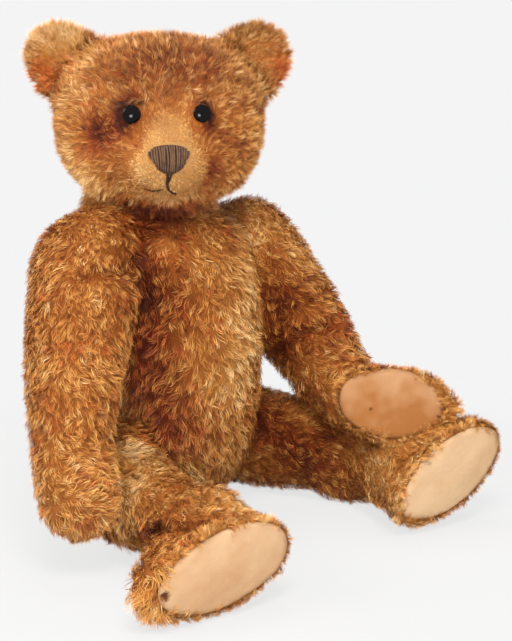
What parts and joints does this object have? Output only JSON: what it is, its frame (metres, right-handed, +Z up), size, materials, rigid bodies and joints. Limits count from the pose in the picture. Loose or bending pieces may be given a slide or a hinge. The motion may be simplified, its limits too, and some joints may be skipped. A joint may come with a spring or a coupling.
{
  "type": "teddy bear",
  "caption": "Seated antique mohair teddy bear with a jointed head, arms and legs, felt pads, stitched nose and glass eyes, worn thin at the muzzle.",
  "frame": {"origin": "on the floor under the middle of the bounding box of the whole seated bear", "axes": "+Z up, -Y the way the chest faces, +X the bear's left"},
  "size_m": [0.4332, 0.374, 0.4732],
  "materials": {
    "mohair": "long curled cinnamon-gold mohair pile, worn thin",
    "felt": "matt pale peach felt",
    "card": "pressed grey-brown card",
    "steel": "dull steel",
    "eye_glass": "opaque glossy black glass",
    "thread": "grey-brown cotton thread"
  },
  "bodies": {
    "torso": {"torso_plush": "mohair", "neck_inner_disc": "card", "neck_inner_washer": "steel", "neck_split_pin": "steel", "left_shoulder_inner_disc": "card", "left_shoulder_inner_washer": "steel", "left_shoulder_split_pin": "steel", "right_shoulder_inner_disc": "card", "right_shoulder_inner_washer": "steel", "right_shoulder_split_pin": "steel", "left_hip_inner_disc": "card", "left_hip_inner_washer": "steel", "left_hip_split_pin": "steel", "right_hip_inner_disc": "card", "right_hip_inner_washer": "steel", "right_hip_split_pin": "steel"},
    "head": {"head_plush": "mohair", "left_ear_plush": "mohair", "right_ear_plush": "mohair", "left_eye": "eye_glass", "right_eye": "eye_glass", "nose_stitching": "thread", "mouth_centre_stitch": "thread", "mouth_branch_stitch": "thread", "neck_outer_disc": "card", "neck_outer_washer": "steel"},
    "left_arm": {"left_arm_plush": "mohair", "left_paw_pad": "felt", "left_shoulder_outer_disc": "card", "left_shoulder_outer_washer": "steel"},
    "left_leg": {"left_leg_plush": "mohair", "left_foot_pad": "felt", "left_foot_insole": "card", "left_hip_outer_disc": "card", "left_hip_outer_washer": "steel"},
    "right_arm": {"right_arm_plush": "mohair", "right_paw_pad": "felt", "right_shoulder_outer_disc": "card", "right_shoulder_outer_washer": "steel"},
    "right_leg": {"right_leg_plush": "mohair", "right_foot_pad": "felt", "right_foot_insole": "card", "right_hip_outer_disc": "card", "right_hip_outer_washer": "steel"}
  },
  "joints": [
    {"name": "neck_turn", "type": "hinge", "parent": "torso", "child": "head", "pos_m": [0.01995, 0.08923, 0.292], "axis": [0, 0, 1], "continuous": true},
    {"name": "left_shoulder_swing", "type": "hinge", "parent": "torso", "child": "left_arm", "pos_m": [0.08995, 0.07523, 0.246], "axis": [-0.9976, 0, 0.0698], "range_deg": [0, 75]},
    {"name": "right_shoulder_swing", "type": "hinge", "parent": "torso", "child": "right_arm", "pos_m": [-0.05005, 0.07523, 0.246], "axis": [-0.9511, 0, 0.309], "range_deg": [-100, 0]},
    {"name": "left_hip_swing", "type": "hinge", "parent": "torso", "child": "left_leg", "pos_m": [0.07695, 0.06923, 0.0545], "axis": [-0.9848, -0.1736, 0], "range_deg": [-90, 0]},
    {"name": "right_hip_swing", "type": "hinge", "parent": "torso", "child": "right_leg", "pos_m": [-0.03705, 0.06923, 0.0545], "axis": [-0.9799, 0.1994, 0], "range_deg": [-90, 0]}
  ]
}
